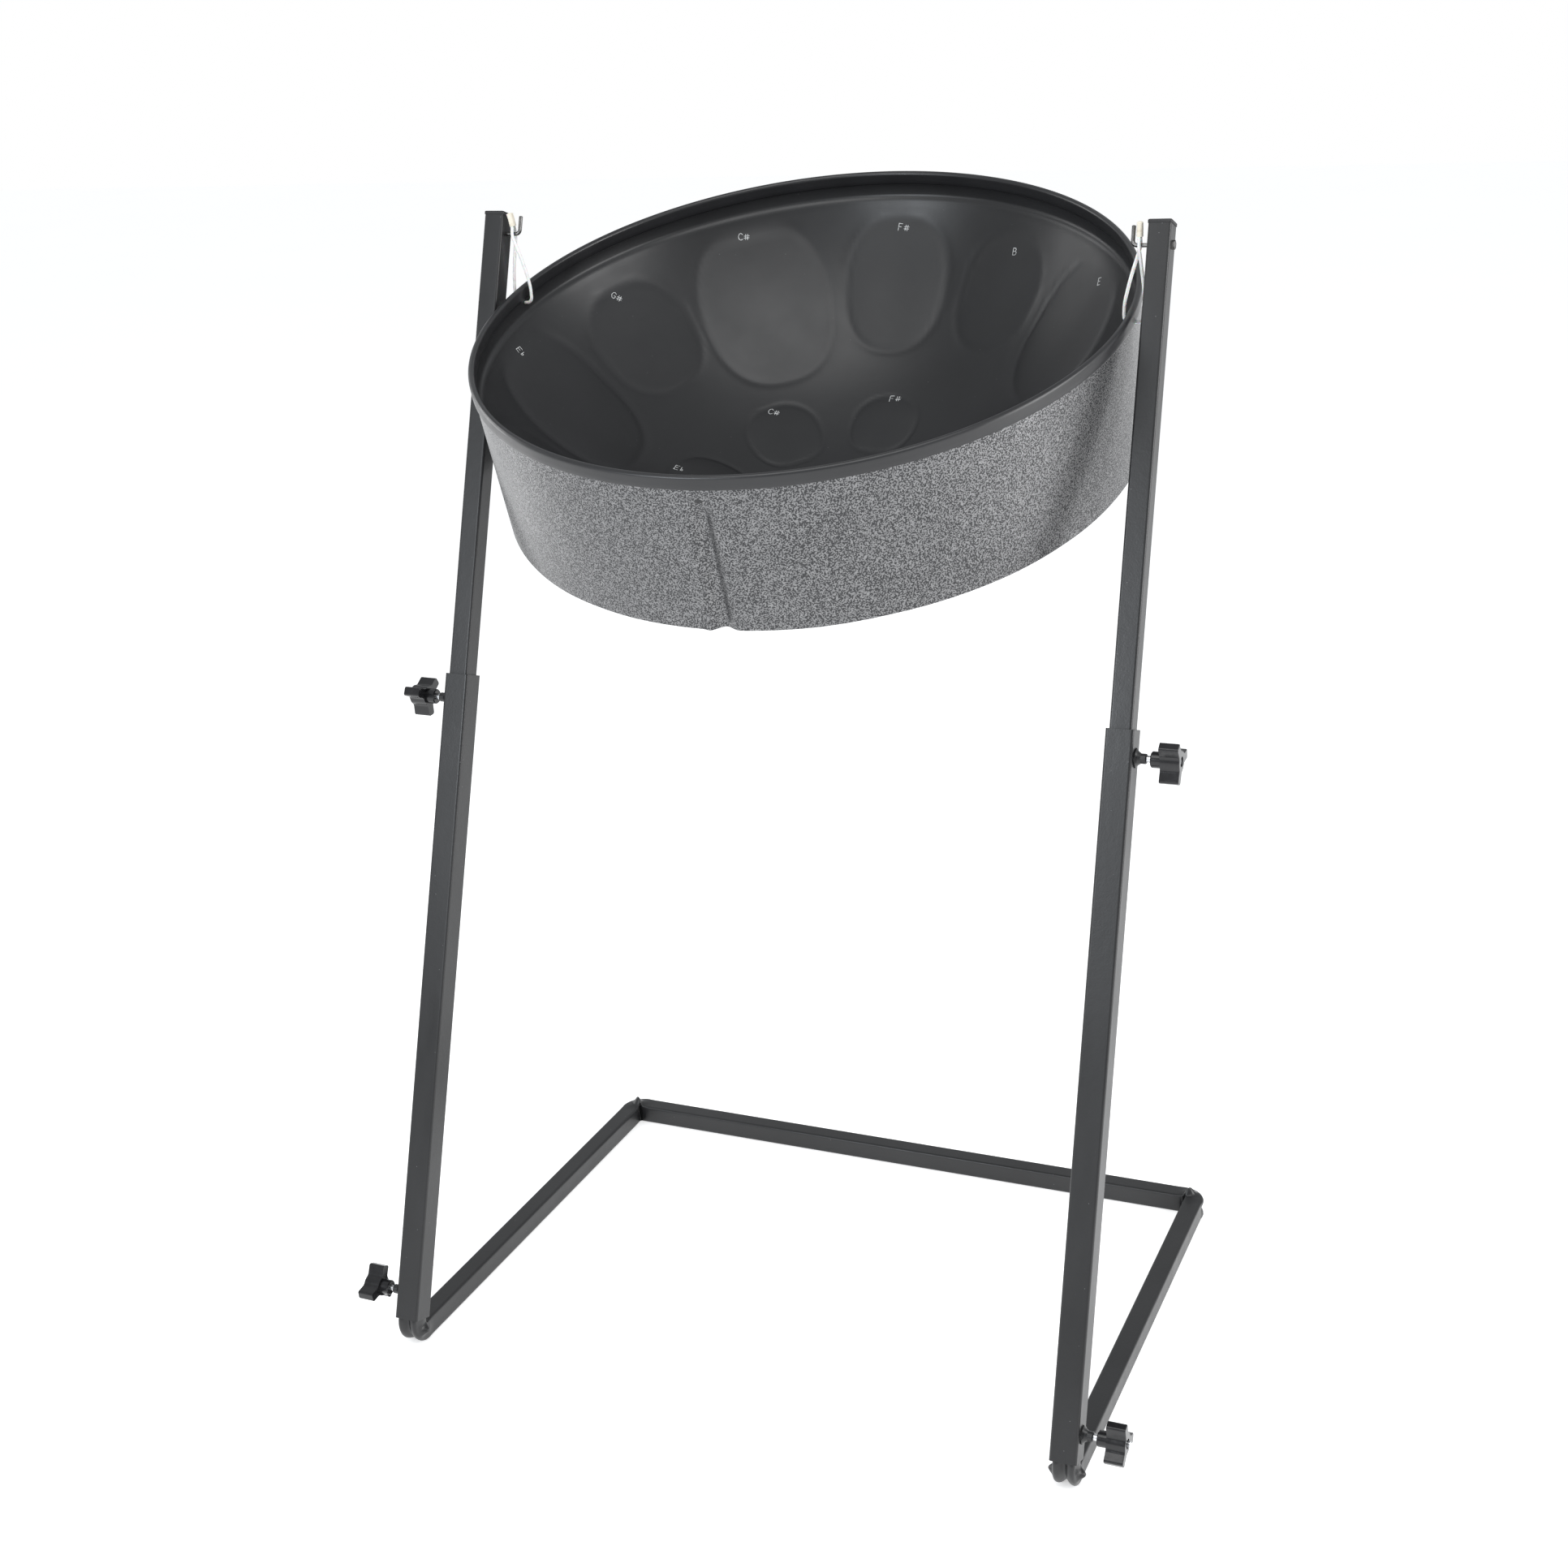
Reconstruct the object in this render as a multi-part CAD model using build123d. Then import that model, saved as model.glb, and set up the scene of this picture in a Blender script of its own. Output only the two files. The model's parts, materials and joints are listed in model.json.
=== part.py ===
from build123d import *
import math
import os

# A tenor steel pan hung between two telescoping legs on a U-shaped floor base.
# Millimetres. +X is the player's right, +Y points away from the player, +Z is up.
# Shapes are laid out from the line through both feet, then all pieces move together
# so that the origin is under the middle of the whole object, on the floor.

# ---- Stand: tubes ----
base_depth = 496.0          # from the foot line to the centre of the rear rail
leg_tube = 25.0             # square tube of the lower legs
slide_gap = 1.0             # running gap of the inner tubes, on each side
tube_wall = 1.5
base_corner = 2.2           # outside corner radius of the square tubes
leg_corner = 2.4
bend_radius = 14.0          # centre line of the crushed bends
lean = 18.4                 # legs lean back, degrees from vertical
toe_in = 0.5                # legs lean towards each other, degrees

# ---- Stand: lengths along a leg, measured from where its axis meets the floor ----
leg_start = 30.5
leg_length = 634.0
stub_length = 150.0         # of the base tube's upturned end, inside the lower leg
mast_top = 1098.0           # mean height of the two upper legs' tube ends
mast_overlap = 166.5        # of the left mast, inside the lower leg
mast_offset = 6.8           # left mast is set this much higher, right mast lower

# ---- Crushed bends ----
ear_rise = 6.0              # pointed ear raised beside each bend
ear_width = 15.0
ear_tip = 2.6
crease_depth = 4.0
groove_radius = 3.0

# ---- Plugs in the tops of the upper legs ----
cap_lip = 0.5               # how far the plug's head stands out all round
cap_height = 3.0
cap_plug = 12.0

# ---- Clamp screws ----
clamp_inset = 24.0          # screw axis from the end of the lower leg
screw_radius = 3.0
screw_fit = 0.05            # radial running clearance in the nut and knob
screw_hole_gap = 0.4        # radial clearance in the tube wall
screw_tip_gap = 0.3         # between the screw's tip and the inner tube
nut_flange_radius = 8.7
nut_wall = 1.5              # of the nut's round neck
nut_length = 10.3
knob_start = 14.2           # from the leg's face to the knob's hub
hub_radius = 7.2
hub_length = 9.0
head_length = 17.0
head_radius = 9.6
wing_radius = 20.0
wing_width = 9.0
recess_margin = 1.6         # recess in the knob's face, round the screw
recess_depth = 2.0
recessed_screw = -1.0       # screw's outer end, from the knob's face
proud_screw = 2.5

# ---- Hooks ----
hook_drop = 17.0            # below the tube's top end, along the leg
hook_rod_radius = 1.8
hook_reach = 14.3           # from the leg's face to the upturned end
hook_rise = 16.8            # upturned end, above the rod's centre
hook_bend = 4.0
hook_nut_width = 7.0
hook_nut_height = 2.4
hook_fit = 0.05             # radial clearance of the rod in the tube and its nut

# ---- Nylon loops ----
line_radius = 1.5
line_gap = 0.4              # between the line and the hook
hang_out = 8.0              # loop's place on the hook, from the leg's face
hang_clearance = 0.6        # from the rim out to the loop's place on the hook, on each side
loop_drop = 64.4            # from the hook's axis to the line's bottom run
loop_outer = 4.5            # outer strand, outward from the hanging point
loop_inner = 13.5           # inner strand, inward from the hanging point
loop_corner = 5.0
sleeve_length = 12.5
sleeve_wall = 1.0
sleeve_waist = 1.2          # extra width of the sleeve between its two strands
sleeve_rounding = 0.46      # corner radius as a share of the thickness
sleeve_start = 7.2          # sleeve's lower end, above the hook's axis

# ---- Pan ----
pan_tilt = 18.05            # playing face leans towards the player, degrees
rim_radius = 305.0
rim_thick = 6.0
rim_height = 13.0
seam_depth = 7.0            # how far skirt and collar reach into the rim
rim_cover = 2.0             # the rim stands this far outside the skirt
skirt_wall = 1.2
skirt_length = 150.0        # from the rim's top to the skirt's lower edge
skirt_taper = 2.8           # the skirt's radius shrinks by this much at its lower edge
collar_wall = 1.2
collar_depth = 24.0         # straight collar below the rim's top
bowl_wall = 0.9
bowl_depth = 212.0
bowl_edge_drop = 6.0        # rounded shoulder between collar and bowl
hole_radius = 4.0
hole_depth = 18.0           # below the rim's top
hole_back = 21.8            # behind the pan's middle, so that it hangs at its tilt

# ---- Worked out from the values above ----
leg_bore = leg_tube - 2 * tube_wall
mast_tube = leg_bore - 2 * slide_gap            # square tube of the upper legs
base_tube = mast_tube                           # square tube of the base
leg_end = leg_start + leg_length
mast_length = mast_top - leg_end + mast_overlap
toe_shift = (mast_top - hook_drop) * math.cos(math.radians(lean)) * math.sin(math.radians(toe_in))
# Between the centre lines of the two side rails, to the nearest millimetre.
foot_spacing = round(2 * (rim_radius + hang_clearance + hang_out + mast_tube / 2 + toe_shift))
foot_x = foot_spacing / 2
skirt_radius = rim_radius - rim_cover
nut_neck_radius = screw_radius + nut_wall
recess_radius = screw_radius + recess_margin
sleeve_thick = 2 * (line_radius + sleeve_wall)
sleeve_width = 4 * line_radius + sleeve_waist
rest_gap = hole_radius - line_radius - 0.5      # hole's centre below the line's centre
line_depth = hole_depth - rest_gap
sides = {"left": -1, "right": 1}
# Angles of the first wing of each knob, from the leg's own direction, turning back.
knob_angles = {
    ("left", "upper"): 39.0,
    ("left", "lower"): 5.0,
    ("right", "upper"): 68.0,
    ("right", "lower"): 90.0,
}


# ---- Places ----
def leg_axis(side):
    """Frame of a leg: Z runs up the leg, X sideways, origin where the axis meets the floor."""
    rail = Location((side * foot_x, 0, base_tube / 2)) * Rotation(0, -side * toe_in, 0)
    return rail * Location((0, 0, -base_tube / 2)) * Rotation(-lean, 0, 0)


def rail_axis(side):
    """Frame of a side rail's front end, leaning with its leg."""
    return Location((side * foot_x, 0, base_tube / 2)) * Rotation(0, -side * toe_in, 0)


def mast_end(side):
    """Height of an upper leg's tube end along the leg."""
    return mast_top - side * mast_offset


def hook_point(side, out):
    """Point on a hook's axis, a distance in from the upper leg's inner face."""
    across = -side * (mast_tube / 2 + out)
    return (leg_axis(side) * Location((across, 0, mast_end(side) - hook_drop))).position


def pan_plane():
    """Plane of the rim's top: X along the two hooks, Z out of the playing face."""
    left = hook_point(-1, hang_out)
    right = hook_point(1, hang_out)
    across = (right - left).normalized()
    upright = (Vector(0, 0, 1) - across * across.Z).normalized()
    out = upright.rotate(Axis((0, 0, 0), across), pan_tilt)
    back = out.cross(across)
    axis_middle = (left + right) * 0.5 - Vector(0, 0, loop_drop)
    centre = axis_middle - back * hole_back + out * line_depth
    return Plane(origin=centre, x_dir=across, z_dir=out)


# ---- Basic shapes ----
def square_bar(size, corner, length):
    """Square bar with rounded corners, standing on the XY plane."""
    return extrude(RectangleRounded(size, size, corner), length)


def square_tube(size, corner, length):
    """Square tube with rounded corners, standing on the XY plane."""
    inner_corner = max(corner - tube_wall, 0.5)
    bore = square_bar(size - 2 * tube_wall, inner_corner, length)
    return square_bar(size, corner, length) - bore


def ring_profile(points):
    """Closed section in the XZ plane, turned about Z."""
    face = Plane.XZ * make_face(Polyline(*points, close=True))
    return revolve(face, Axis.Z)


def ear():
    """Pointed ear of pressed metal, its root sunk in the tube face at Z = 0."""
    root = Pos(0, 0, -1.5) * RectangleRounded(ear_width, ear_width * 0.7, 3)
    tip = Pos(0, -1.0, ear_rise) * RectangleRounded(ear_tip, ear_tip, 1)
    return loft([root.face(), tip.face()])


def crushed_bend(turn):
    """Solid crushed bend. It starts at the origin running along +Y and turns up about an
    axis along X that lies bend_radius above the start."""
    section = Plane.XZ * RectangleRounded(base_tube, base_tube, base_corner)
    centre = Axis((0, 0, bend_radius), (1, 0, 0))
    bend = revolve(section, centre, turn)
    outer_wall = bend_radius + base_tube / 2
    groove = Plane.XZ * Pos(0, bend_radius - outer_wall - 1.0) * Circle(groove_radius)
    bend -= revolve(groove, centre, turn)
    half = math.radians(turn / 2)
    inner = bend_radius - base_tube / 2
    reach = inner + crease_depth / 2
    crease = Box(base_tube + 2, crease_depth, crease_depth)
    place = Pos(0, reach * math.sin(half), bend_radius - reach * math.cos(half))
    bend -= place * Rotation(turn / 2 + 45, 0, 0) * crease
    return bend


# ---- Base ----
def base_frame_tube():
    """One bent tube: two side rails, the rear rail, and an upturned stub at each foot."""
    foot_turn = 90 + lean
    foot_tangent = bend_radius * math.tan(math.radians(foot_turn / 2))
    rail_start = base_tube / 2 * math.tan(math.radians(lean)) + foot_tangent
    rail_end = base_depth - bend_radius
    rear_half = foot_x - bend_radius
    rear = Pos(-rear_half, base_depth, base_tube / 2) * Rotation(0, 90, 0)
    frame = rear * square_tube(base_tube, base_corner, 2 * rear_half)
    for side in (-1, 1):
        rail = Pos(side * foot_x, rail_start, base_tube / 2) * Rotation(-90, 0, 0)
        frame += rail * square_tube(base_tube, base_corner, rail_end - rail_start)
        corner = Pos(side * foot_x, rail_end, base_tube / 2) * Rotation(0, -side * 90, 0)
        frame += corner * crushed_bend(90)
        inset = bend_radius * 0.55
        peak = Pos(side * (foot_x - inset + 2), base_depth - inset + 2, base_tube)
        frame += peak * Rotation(0, 0, side * 45) * ear()
        foot = rail_axis(side) * Pos(0, rail_start, 0) * Rotation(0, 0, 180)
        frame += foot * crushed_bend(foot_turn)
        for flank in (-1, 1):
            spot = rail_axis(side) * Pos(flank * base_tube / 2, rail_start - 12, 3.5)
            frame += spot * Rotation(0, flank * 90, 0) * Rotation(0, 0, flank * 90) * ear()
        stub_start = (foot_tangent * math.cos(math.radians(lean)) + base_tube / 2) / math.cos(
            math.radians(lean)
        )
        stub = leg_axis(side) * Pos(0, 0, stub_start)
        frame += stub * square_tube(base_tube, base_corner, leg_start + stub_length - stub_start)
    below_floor = Pos(0, base_depth / 2, -5) * Box(2 * foot_spacing, 2 * base_depth, 10)
    return frame - below_floor


# ---- Legs ----
def lower_leg_tube(side):
    """Square sleeve that fits over the stub and takes the upper leg."""
    tube = square_tube(leg_tube, leg_corner, leg_length)
    hole = Cylinder(screw_radius + screw_hole_gap, 4 * tube_wall)
    for height in (clamp_inset, leg_length - clamp_inset):
        tube -= Pos(side * leg_tube / 2, 0, height) * Rotation(0, 90, 0) * hole
    return leg_axis(side) * Pos(0, 0, leg_start) * tube


def upper_leg_tube(side):
    """Square tube that slides in the lower leg, drilled across for the hook's rod."""
    tube = square_tube(mast_tube, base_corner, mast_length)
    rod_hole = Rotation(0, 90, 0) * Cylinder(hook_rod_radius + hook_fit, 2 * mast_tube)
    tube -= Pos(0, 0, mast_length - hook_drop) * rod_hole
    return leg_axis(side) * Pos(0, 0, mast_end(side) - mast_length) * tube


def top_cap(side):
    """Plastic plug with a thin head that overhangs the tube."""
    head_size = mast_tube + 2 * cap_lip
    head = square_bar(head_size, base_corner, cap_height)
    head = fillet(head.faces().sort_by(Axis.Z)[-1].edges(), 1.0)
    plug_size = mast_tube - 2 * tube_wall
    plug = Pos(0, 0, -cap_plug) * square_bar(plug_size, 0.7, cap_plug)
    plug -= Pos(0, 0, -cap_plug) * square_bar(plug_size - 3, 0.5, cap_plug)
    return leg_axis(side) * Pos(0, 0, mast_end(side)) * (head + plug)


# ---- Clamp screws ----
def clamp_axis(side, end):
    """Frame of a clamp: Z points outward from the lower leg's outer face."""
    height = leg_start + clamp_inset
    if end == "upper":
        height = leg_end - clamp_inset
    out = leg_axis(side) * Pos(side * leg_tube / 2, 0, height)
    return out * Rotation(0, side * 90, 0)


def clamp_nut():
    """Flared nut welded to the leg: a wide pointed flange that narrows to a round neck."""
    bore = screw_radius + screw_fit
    wall = [
        (bore, 0),
        (nut_flange_radius, 0),
        (nut_flange_radius, 0.8),
        (nut_neck_radius + 1.6, 2.8),
        (nut_neck_radius, 5.2),
        (nut_neck_radius, nut_length - 0.8),
        (nut_neck_radius - 0.8, nut_length),
        (bore, nut_length),
    ]
    nut = ring_profile(wall)
    trim = Box(4 * nut_flange_radius, 4 * nut_flange_radius, 2.6, align=(Align.CENTER,) * 3)
    point = Rectangle(nut_flange_radius * 1.42, nut_flange_radius * 1.42, rotation=45)
    keep = extrude(point, nut_length)
    base = nut & trim
    return (nut - trim) + (base & keep)


def clamp_screw(outer_end):
    """Screw from just off the inner tube to the knob's outer face."""
    tip = -(leg_tube - mast_tube) / 2 + screw_tip_gap
    end = knob_start + hub_length + head_length + outer_end
    screw = Pos(0, 0, tip) * extrude(Circle(screw_radius), end - tip)
    return chamfer(screw.edges(), 0.6)


def clamp_knob(first_wing):
    """Three-winged knob: a round hub, then a head with three rounded wings."""
    outline = Circle(head_radius)
    for turn in range(3):
        wing = Pos(0, wing_radius / 2) * RectangleRounded(wing_width, wing_radius, 2.2)
        outline += Rotation(0, 0, first_wing + 120 * turn) * wing
    roots = outline.vertices().filter_by(lambda v: Vector(v).length < head_radius + 0.5)
    outline = fillet(roots, 5.0)
    head = extrude(outline, head_length)
    head = fillet(head.faces().sort_by(Axis.Z)[-1].edges(), 1.0)
    hub = Pos(0, 0, -hub_length) * extrude(Circle(hub_radius), hub_length)
    hub = chamfer(hub.faces().sort_by(Axis.Z)[0].edges(), 0.8)
    knob = head + hub
    knob -= Pos(0, 0, head_length - recess_depth) * extrude(Circle(recess_radius), 2 * recess_depth)
    bore = extrude(Circle(screw_radius + screw_fit), head_length + 2 * hub_length)
    knob -= Pos(0, 0, -hub_length - 1) * bore
    return Pos(0, 0, knob_start + hub_length) * knob


def wing_direction(side, end):
    """Angle of the first wing in the clamp's frame, whose X axis runs along the leg."""
    return side * (90 - knob_angles[(side_name(side), end)])


def side_name(side):
    """Name of a side of the stand."""
    return "left" if side < 0 else "right"


# ---- Hooks ----
def hook_frame(side):
    """Frame of a hook: X points from the leg to the pan, Z up the leg, origin on the leg's axis."""
    place = leg_axis(side) * Pos(0, 0, mast_end(side) - hook_drop)
    return place * Rotation(0, 0, 0 if side < 0 else 180)


def pan_hook():
    """Bent rod: it crosses the leg from the nut on its outer face and turns up at its end."""
    start = -mast_tube / 2 - hook_nut_height
    end = mast_tube / 2 + hook_reach
    path = FilletPolyline((start, 0, 0), (end, 0, 0), (end, 0, hook_rise), radius=hook_bend)
    section = Plane(origin=path @ 0, z_dir=path % 0) * Circle(hook_rod_radius)
    rod = sweep(section, path=path)
    return chamfer(rod.faces().sort_by(Axis.Z)[-1].edges(), 0.4)


def hook_nut():
    """Hexagon nut on the hook's threaded end, tight against the leg's outer face."""
    body = extrude(RegularPolygon(hook_nut_width / 2, 6, major_radius=False), hook_nut_height)
    body -= extrude(Circle(hook_rod_radius + hook_fit), hook_nut_height)
    return Pos(-mast_tube / 2, 0, 0) * Rotation(0, -90, 0) * body


# ---- Nylon loops ----
def loop_frame(side):
    """Frame of a loop: origin on the hook's axis, X level towards the pan, Z straight up."""
    here = hook_point(side, hang_out)
    other = hook_point(-side, hang_out)
    inward = Vector(other.X - here.X, other.Y - here.Y, 0)
    return Plane(origin=here, x_dir=inward, z_dir=(0, 0, 1)).location


def loop_points(sleeve_lean):
    """Corners of the line's route, from the sleeve down the outer strand, through the
    pan's wall and up the inner strand."""
    beside = hook_rod_radius + line_radius + line_gap + 0.6
    crimped = line_radius + 0.05
    top = sleeve_start + sleeve_length - 1.0
    lean_shift = top * math.tan(math.radians(sleeve_lean))
    low = -loop_drop
    return [
        (-lean_shift, crimped, top),
        (0, crimped, sleeve_start),
        (-0.3, beside, -1.0),
        (-loop_outer + 0.6, 1.2, low * 0.52),
        (-loop_outer, 0, low + 14),
        (-loop_outer, 0, low),
        (loop_inner, 0, low),
        (loop_inner, 0, low + 15),
        (loop_inner * 0.62, -1.6, low * 0.42),
        (0.3, -beside, -1.0),
        (0, -crimped, sleeve_start),
        (-lean_shift, -crimped, top),
    ]


def corner_radii(points):
    """Arc radius at each corner: as large as its two runs allow, and small where the
    line turns through the pan's wall."""
    radii = []
    for before, at, after in zip(points, points[1:], points[2:]):
        run_in = Vector(*at) - Vector(*before)
        run_out = Vector(*after) - Vector(*at)
        turn = math.radians(run_in.get_angle(run_out))
        shorter = min(run_in.length, run_out.length)
        radius = 0.45 * shorter / math.tan(turn / 2)
        if turn > math.radians(60):
            radius = loop_corner
        radii.append(radius)
    return radii


def loop_line(sleeve_lean):
    """The line itself, one round tube along its whole route."""
    points = loop_points(sleeve_lean)
    radii = corner_radii(points)
    path = FilletPolyline(*points, radius=radii)
    section = Plane(origin=path @ 0, z_dir=path % 0) * Circle(line_radius)
    tube = sweep(section, path=path)
    area = math.pi * line_radius ** 2
    print("loop length", round(path.length, 1), "volume / section", round(tube.volume / area, 1))
    print("loop radii", [round(r, 1) for r in radii])
    return tube


def loop_sleeve(sleeve_lean, line):
    """Crimped sleeve that joins the two ends of the line above the hook."""
    body = extrude(RectangleRounded(sleeve_thick, sleeve_width, sleeve_rounding * sleeve_thick), sleeve_length)
    body = fillet(body.faces().sort_by(Axis.Z)[-1].edges(), 1.2)
    return Pos(0, 0, sleeve_start) * Rotation(0, -sleeve_lean, 0) * body - line


# ---- Pan ----
def pan_rim():
    """Rolled seam ring with a full round top and a groove that holds skirt and collar."""
    inner = rim_radius - rim_thick
    half = rim_thick / 2
    straight = rim_height - half
    crown = inner + half
    edge = 1.5
    with BuildSketch() as section:
        with BuildLine():
            Line((inner, -half), (inner, -rim_height + edge))
            Line((inner, -rim_height + edge), (inner + edge, -rim_height))
            Line((inner + edge, -rim_height), (rim_radius - edge, -rim_height))
            Line((rim_radius - edge, -rim_height), (rim_radius, -rim_height + edge))
            Line((rim_radius, -rim_height + edge), (rim_radius, -half))
            ThreePointArc((rim_radius, -half), (crown, 0), (inner, -half))
        make_face()
    ring = revolve(Plane.XZ * section.sketch, Axis.Z)
    groove_inner = skirt_radius - skirt_wall - collar_wall
    groove_floor = -rim_height + seam_depth
    groove = ring_profile([
        (groove_inner, -straight - rim_height),
        (skirt_radius, -straight - rim_height),
        (skirt_radius, groove_floor),
        (groove_inner, groove_floor),
    ])
    return ring - groove


def wall_holes():
    """The two holes that the loops pass through, drilled along the pan's X axis."""
    drill = Rotation(0, 90, 0) * Cylinder(hole_radius, 3 * rim_radius)
    return Pos(0, hole_back, -hole_depth) * drill


def pan_skirt():
    """Outer shell: straight under the rim, then slightly narrower to its lower edge."""
    top = -rim_height + seam_depth
    inner = skirt_radius - skirt_wall
    skirt = ring_profile([
        (inner, top),
        (skirt_radius, top),
        (skirt_radius, -collar_depth),
        (skirt_radius - skirt_taper, -skirt_length),
        (inner - skirt_taper, -skirt_length),
        (inner, -collar_depth),
    ])
    return skirt - wall_holes()


def pan_bowl():
    """Playing surface: a straight collar inside the skirt, a rounded shoulder, and a
    bowl that is part of a sphere."""
    top = -rim_height + seam_depth
    outer = skirt_radius - skirt_wall
    inner = outer - collar_wall
    edge_drop = collar_depth + bowl_edge_drop
    edge_radius = inner - bowl_edge_drop * 0.7
    rise = bowl_depth - edge_drop
    sphere = (edge_radius ** 2 + rise ** 2) / (2 * rise)
    half_angle = math.asin(edge_radius / sphere) / 2
    centre = sphere - bowl_depth
    middle = (sphere * math.sin(half_angle), centre - sphere * math.cos(half_angle))
    outside = sphere + bowl_wall
    under = (outside * math.sin(half_angle), centre - outside * math.cos(half_angle))
    edge_angle = 2 * half_angle
    under_edge = (outside * math.sin(edge_angle), centre - outside * math.cos(edge_angle))
    with BuildSketch() as section:
        with BuildLine():
            Line((0, -bowl_depth - bowl_wall), (0, -bowl_depth))
            ThreePointArc((0, -bowl_depth), middle, (edge_radius, -edge_drop))
            Line((edge_radius, -edge_drop), (inner, -collar_depth))
            Line((inner, -collar_depth), (inner, top))
            Line((inner, top), (outer, top))
            Line((outer, top), (outer, -collar_depth))
            Line((outer, -collar_depth), under_edge)
            ThreePointArc(under_edge, under, (0, -bowl_depth - bowl_wall))
        make_face()
    bowl = revolve(Plane.XZ * section.sketch, Axis.Z)
    return bowl - wall_holes()


# ---- Whole object ----
def build_pieces():
    """Every piece by its name, laid out from the foot line."""
    pieces = {"base_frame_tube": base_frame_tube()}
    for name, side in sides.items():
        pieces[name + "_lower_leg_tube"] = lower_leg_tube(side)
        pieces[name + "_upper_leg_tube"] = upper_leg_tube(side)
        pieces[name + "_top_cap"] = top_cap(side)
        for end in ("upper", "lower"):
            label = name + "_" + end + "_clamp_"
            axis = clamp_axis(side, end)
            outer_end = recessed_screw
            if (name, end) == ("right", "lower"):
                outer_end = proud_screw
            pieces[label + "nut"] = axis * clamp_nut()
            pieces[label + "screw"] = axis * clamp_screw(outer_end)
            pieces[label + "knob"] = axis * clamp_knob(wing_direction(side, end))
        pieces[name + "_hook"] = hook_frame(side) * pan_hook()
        pieces[name + "_hook_nut"] = hook_frame(side) * hook_nut()
        sleeve_lean = 12.0 if side < 0 else 0.0
        line = loop_line(sleeve_lean)
        pieces[name + "_loop_line"] = loop_frame(side) * line
        pieces[name + "_loop_sleeve"] = loop_frame(side) * loop_sleeve(sleeve_lean, line)
    plane = pan_plane()
    pieces["pan_rim"] = plane.location * pan_rim()
    pieces["pan_skirt"] = plane.location * pan_skirt()
    pieces["pan_bowl"] = plane.location * pan_bowl()
    return pieces


def print_places(shift):
    """Joint places and axes in the finished frame."""
    for name, side in sides.items():
        leg = leg_axis(side)
        print(name, "leg axis", Plane(leg).z_dir, "through", leg.position + shift)
        for end in ("upper", "lower"):
            clamp = clamp_axis(side, end)
            print(name, end, "clamp", clamp.position + shift, "out", Plane(clamp).z_dir)
        print(name, "hook axis at", hook_point(side, hang_out) + shift)
    plane = pan_plane()
    on_line = plane.origin + plane.y_dir * hole_back - plane.z_dir * line_depth
    print("pan origin", plane.origin + shift, "x", plane.x_dir, "y", plane.y_dir, "z", plane.z_dir)
    print("pan pivot", on_line + shift)


def main():
    """Build all pieces, move the origin under the middle, and write one file per piece."""
    os.makedirs("parts", exist_ok=True)
    pieces = build_pieces()
    box = Compound(children=[Part() + piece for piece in pieces.values()]).bounding_box()
    shift = Vector(-(box.min.X + box.max.X) / 2, -(box.min.Y + box.max.Y) / 2, -box.min.Z)
    print("size", box.size, "shift", shift)
    print_places(shift)
    for name, piece in pieces.items():
        export_step(Location(shift) * piece, "parts/" + name + ".step")


main()
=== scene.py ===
import json
import math
import random

import bmesh
import bpy
import numpy as np
from mathutils import Matrix, Vector


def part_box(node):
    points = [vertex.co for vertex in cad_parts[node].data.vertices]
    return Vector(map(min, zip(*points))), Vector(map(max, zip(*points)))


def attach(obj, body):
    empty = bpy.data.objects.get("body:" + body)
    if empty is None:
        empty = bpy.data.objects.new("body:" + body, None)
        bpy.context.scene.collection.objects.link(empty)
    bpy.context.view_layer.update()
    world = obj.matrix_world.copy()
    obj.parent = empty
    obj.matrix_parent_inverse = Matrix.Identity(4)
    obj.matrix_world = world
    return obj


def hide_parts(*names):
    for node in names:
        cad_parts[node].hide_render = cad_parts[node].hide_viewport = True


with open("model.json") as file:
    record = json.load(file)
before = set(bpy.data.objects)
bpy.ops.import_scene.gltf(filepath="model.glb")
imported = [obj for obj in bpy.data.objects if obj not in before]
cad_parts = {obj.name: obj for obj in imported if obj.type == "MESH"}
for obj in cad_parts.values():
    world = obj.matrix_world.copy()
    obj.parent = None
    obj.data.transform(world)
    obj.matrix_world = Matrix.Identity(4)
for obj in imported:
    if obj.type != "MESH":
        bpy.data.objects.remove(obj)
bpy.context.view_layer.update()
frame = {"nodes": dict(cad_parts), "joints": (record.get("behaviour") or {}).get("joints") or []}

MM = 0.001
NODES = frame["nodes"]
JOINTS = {joint["name"]: joint for joint in frame["joints"]}
SIDES = {"left": -1, "right": 1}


# ---------------------------------------------------------------- places from the frame
def joint_axis(name):
    """Unit vector along a joint's axis."""
    return Vector(JOINTS[name]["axis"]).normalized()


def node_points(node):
    """A CAD node's vertices as an array."""
    mesh = NODES[node].data
    flat = np.zeros(3 * len(mesh.vertices))
    mesh.vertices.foreach_get("co", flat)
    return flat.reshape(-1, 3)


def pan_frame():
    """Matrix of the pan: X along the hooks, Z out of the bowl, origin in the rim's top plane."""
    across = joint_axis("pan_swing")
    points = node_points("pan_rim")
    middle = Vector((points.min(0) + points.max(0)) / 2)
    normals = np.linalg.svd(points - points.mean(0), full_matrices=False)[2]
    out = Vector(normals[2])
    if out.z < 0:
        out = -out
    out = (out - across * out.dot(across)).normalized()
    heights = (points - np.array(middle)) @ np.array(out)
    halfway = (heights.max() + heights.min()) / 2
    centre = middle + out * halfway
    crest = heights.max() - halfway
    return matrix_of(centre + out * crest, across, out.cross(across), out)


def matrix_of(origin, x_axis, y_axis, z_axis):
    """4x4 matrix from an origin and three axes."""
    rows = [[x_axis[i], y_axis[i], z_axis[i], origin[i]] for i in range(3)]
    return Matrix(rows + [[0, 0, 0, 1]])


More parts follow.
